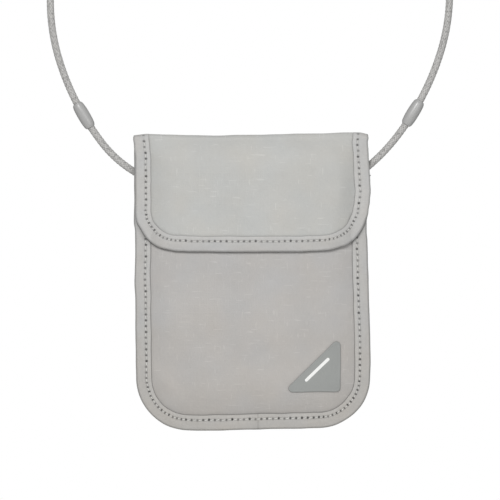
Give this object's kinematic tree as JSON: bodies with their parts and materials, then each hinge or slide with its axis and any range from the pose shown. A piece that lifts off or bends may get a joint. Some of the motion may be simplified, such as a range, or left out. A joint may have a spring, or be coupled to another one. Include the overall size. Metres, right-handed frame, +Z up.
{
  "type": "neck pouch wallet",
  "caption": "Flat fabric neck pouch with a rounded fold-over flap, taped and stitched edges, a zipped front pocket under the flap and a braided neck cord with slide beads.",
  "frame": {"origin": "centre of the back panel's raised outer face, about halfway up the pouch and halfway across it", "axes": "+X to the right seen from the front, +Y out of the back, +Z up the pouch to the fold; the front faces -Y"},
  "size_m": [0.2416, 0.0182, 0.3781],
  "materials": {
    "pouch_fabric": "light grey woven nylon with a fine ripstop grid, satin sheen",
    "lining": "coated lining cloth, slightly shiny",
    "edge_tape": "folded grosgrain tape",
    "thread": "polyester sewing thread",
    "label": "matt rubberised patch",
    "label_print": "white print",
    "hook_and_loop": "nylon hook and loop",
    "zip_tape": "woven zip tape",
    "zip_coil": "nylon coil",
    "zip_metal": "grey painted die-cast zinc",
    "cord": "braided polyester",
    "cord_core": "core strand",
    "bead": "satin moulded plastic"
  },
  "bodies": {
    "pouch": {"back_panel": "pouch_fabric", "back_lining": "lining", "pocket_divider": "lining", "front_panel": "pouch_fabric", "front_upper_panel": "pouch_fabric", "mouth_binding": "edge_tape", "body_binding": "edge_tape", "body_seam_thread": "thread", "label_patch": "label", "label_mark": "label_print", "loop_patch": "hook_and_loop", "zip_tape_lower": "zip_tape", "zip_tape_upper": "zip_tape", "zip_coil_lower": "zip_coil", "zip_coil_upper": "zip_coil", "zip_bottom_stop": "zip_metal", "zip_top_stop_lower": "zip_metal", "zip_top_stop_upper": "zip_metal", "left_anchor_tab": "pouch_fabric", "right_anchor_tab": "pouch_fabric", "left_cord_end": "cord", "right_cord_end": "cord"},
    "flap": {"flap_panel": "pouch_fabric", "flap_lining": "lining", "flap_binding": "edge_tape", "flap_seam_thread": "thread", "hook_patch": "hook_and_loop"},
    "zip_slider": {"zip_slider_body": "zip_metal"},
    "zip_pull": {"zip_pull_tab": "zip_metal"},
    "neck_cord": {"neck_cord_sheath": "cord", "neck_cord_core": "cord_core"},
    "left_bead": {"left_bead": "bead"},
    "right_bead": {"right_bead": "bead"}
  },
  "joints": [
    {"name": "flap_hinge", "type": "hinge", "parent": "pouch", "child": "flap", "pos_m": [0, -0.0029, 0.0862], "axis": [-1, 0, 0], "range_deg": [0, 178]},
    {"name": "cord_swing", "type": "hinge", "parent": "pouch", "child": "neck_cord", "pos_m": [0, 0.0024, 0.0689], "axis": [-0.9996, 0, -0.0269], "range_deg": [-90, 178]},
    {"name": "left_bead_slide", "type": "hinge", "parent": "neck_cord", "child": "left_bead", "pos_m": [0.03361, 0.0024, 0.17852], "axis": [0, 1, 0], "range_deg": [-2.96, 9.24]},
    {"name": "right_bead_slide", "type": "hinge", "parent": "neck_cord", "child": "right_bead", "pos_m": [-0.04046, 0.0024, 0.18506], "axis": [0, -1, 0], "range_deg": [-2.87, 8.95]},
    {"name": "zip_slide", "type": "slide", "parent": "pouch", "child": "zip_slider", "axis": [-1, 0, 0], "range_m": [0, 0.08]},
    {"name": "zip_pull_swing", "type": "hinge", "parent": "zip_slider", "child": "zip_pull", "pos_m": [0.04, -0.0095, 0.057], "axis": [0, 1, 0], "range_deg": [-75, 75]}
  ]
}
